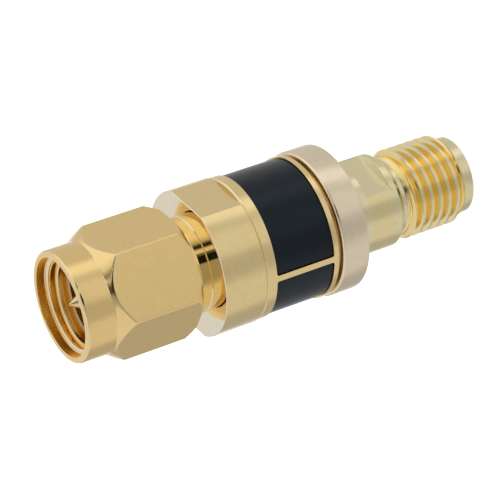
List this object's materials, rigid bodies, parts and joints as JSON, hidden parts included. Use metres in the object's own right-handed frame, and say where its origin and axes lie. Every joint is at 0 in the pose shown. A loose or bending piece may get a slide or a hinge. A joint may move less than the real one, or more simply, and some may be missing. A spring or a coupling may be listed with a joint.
{
  "type": "rf attenuator",
  "caption": "Gold-plated coaxial fixed attenuator: a round body with wrench flats and curved labels, a plug with a spinning hexagon coupling nut at one end and a threaded jack at the other.",
  "frame": {"origin": "centre of the jack's end face, on which the part stands", "axes": "+Z along the coaxial axis from the jack to the mouth of the coupling nut, +X along the normal of one wrench flat of the housing"},
  "size_m": [0.0102, 0.0102, 0.0308],
  "materials": {
    "gold": "gold plating on turned brass, satin",
    "pale_gold": "pale gold plating on turned brass, satin",
    "polished_gold": "gold plating, polished",
    "satin_gold": "satin plating on turned brass",
    "contact_gold": "gold plating on contact alloy",
    "spring_bronze": "plain spring bronze",
    "ptfe": "white PTFE",
    "label": "dark satin film",
    "alumina": "white alumina"
  },
  "bodies": {
    "attenuator": {"jack_shell": "pale_gold", "jack_insulator": "ptfe", "jack_contact": "contact_gold", "rear_collar": "satin_gold", "housing": "gold", "label_front": "label", "label_back": "label", "carrier_right": "contact_gold", "carrier_left": "contact_gold", "attenuator_chip": "alumina", "plug_shell": "polished_gold", "plug_insulator": "ptfe", "plug_pin": "contact_gold"},
    "retainer": {"snap_ring": "spring_bronze"},
    "nut": {"coupling_nut": "gold"}
  },
  "joints": [
    {"name": "nut_slide", "type": "slide", "parent": "attenuator", "child": "retainer", "axis": [0, 0, 1], "range_m": [0, 0.0004]},
    {"name": "nut_spin", "type": "hinge", "parent": "retainer", "child": "nut", "pos_m": [0, 0, 0.0266], "axis": [0, 0, 1], "continuous": true}
  ]
}
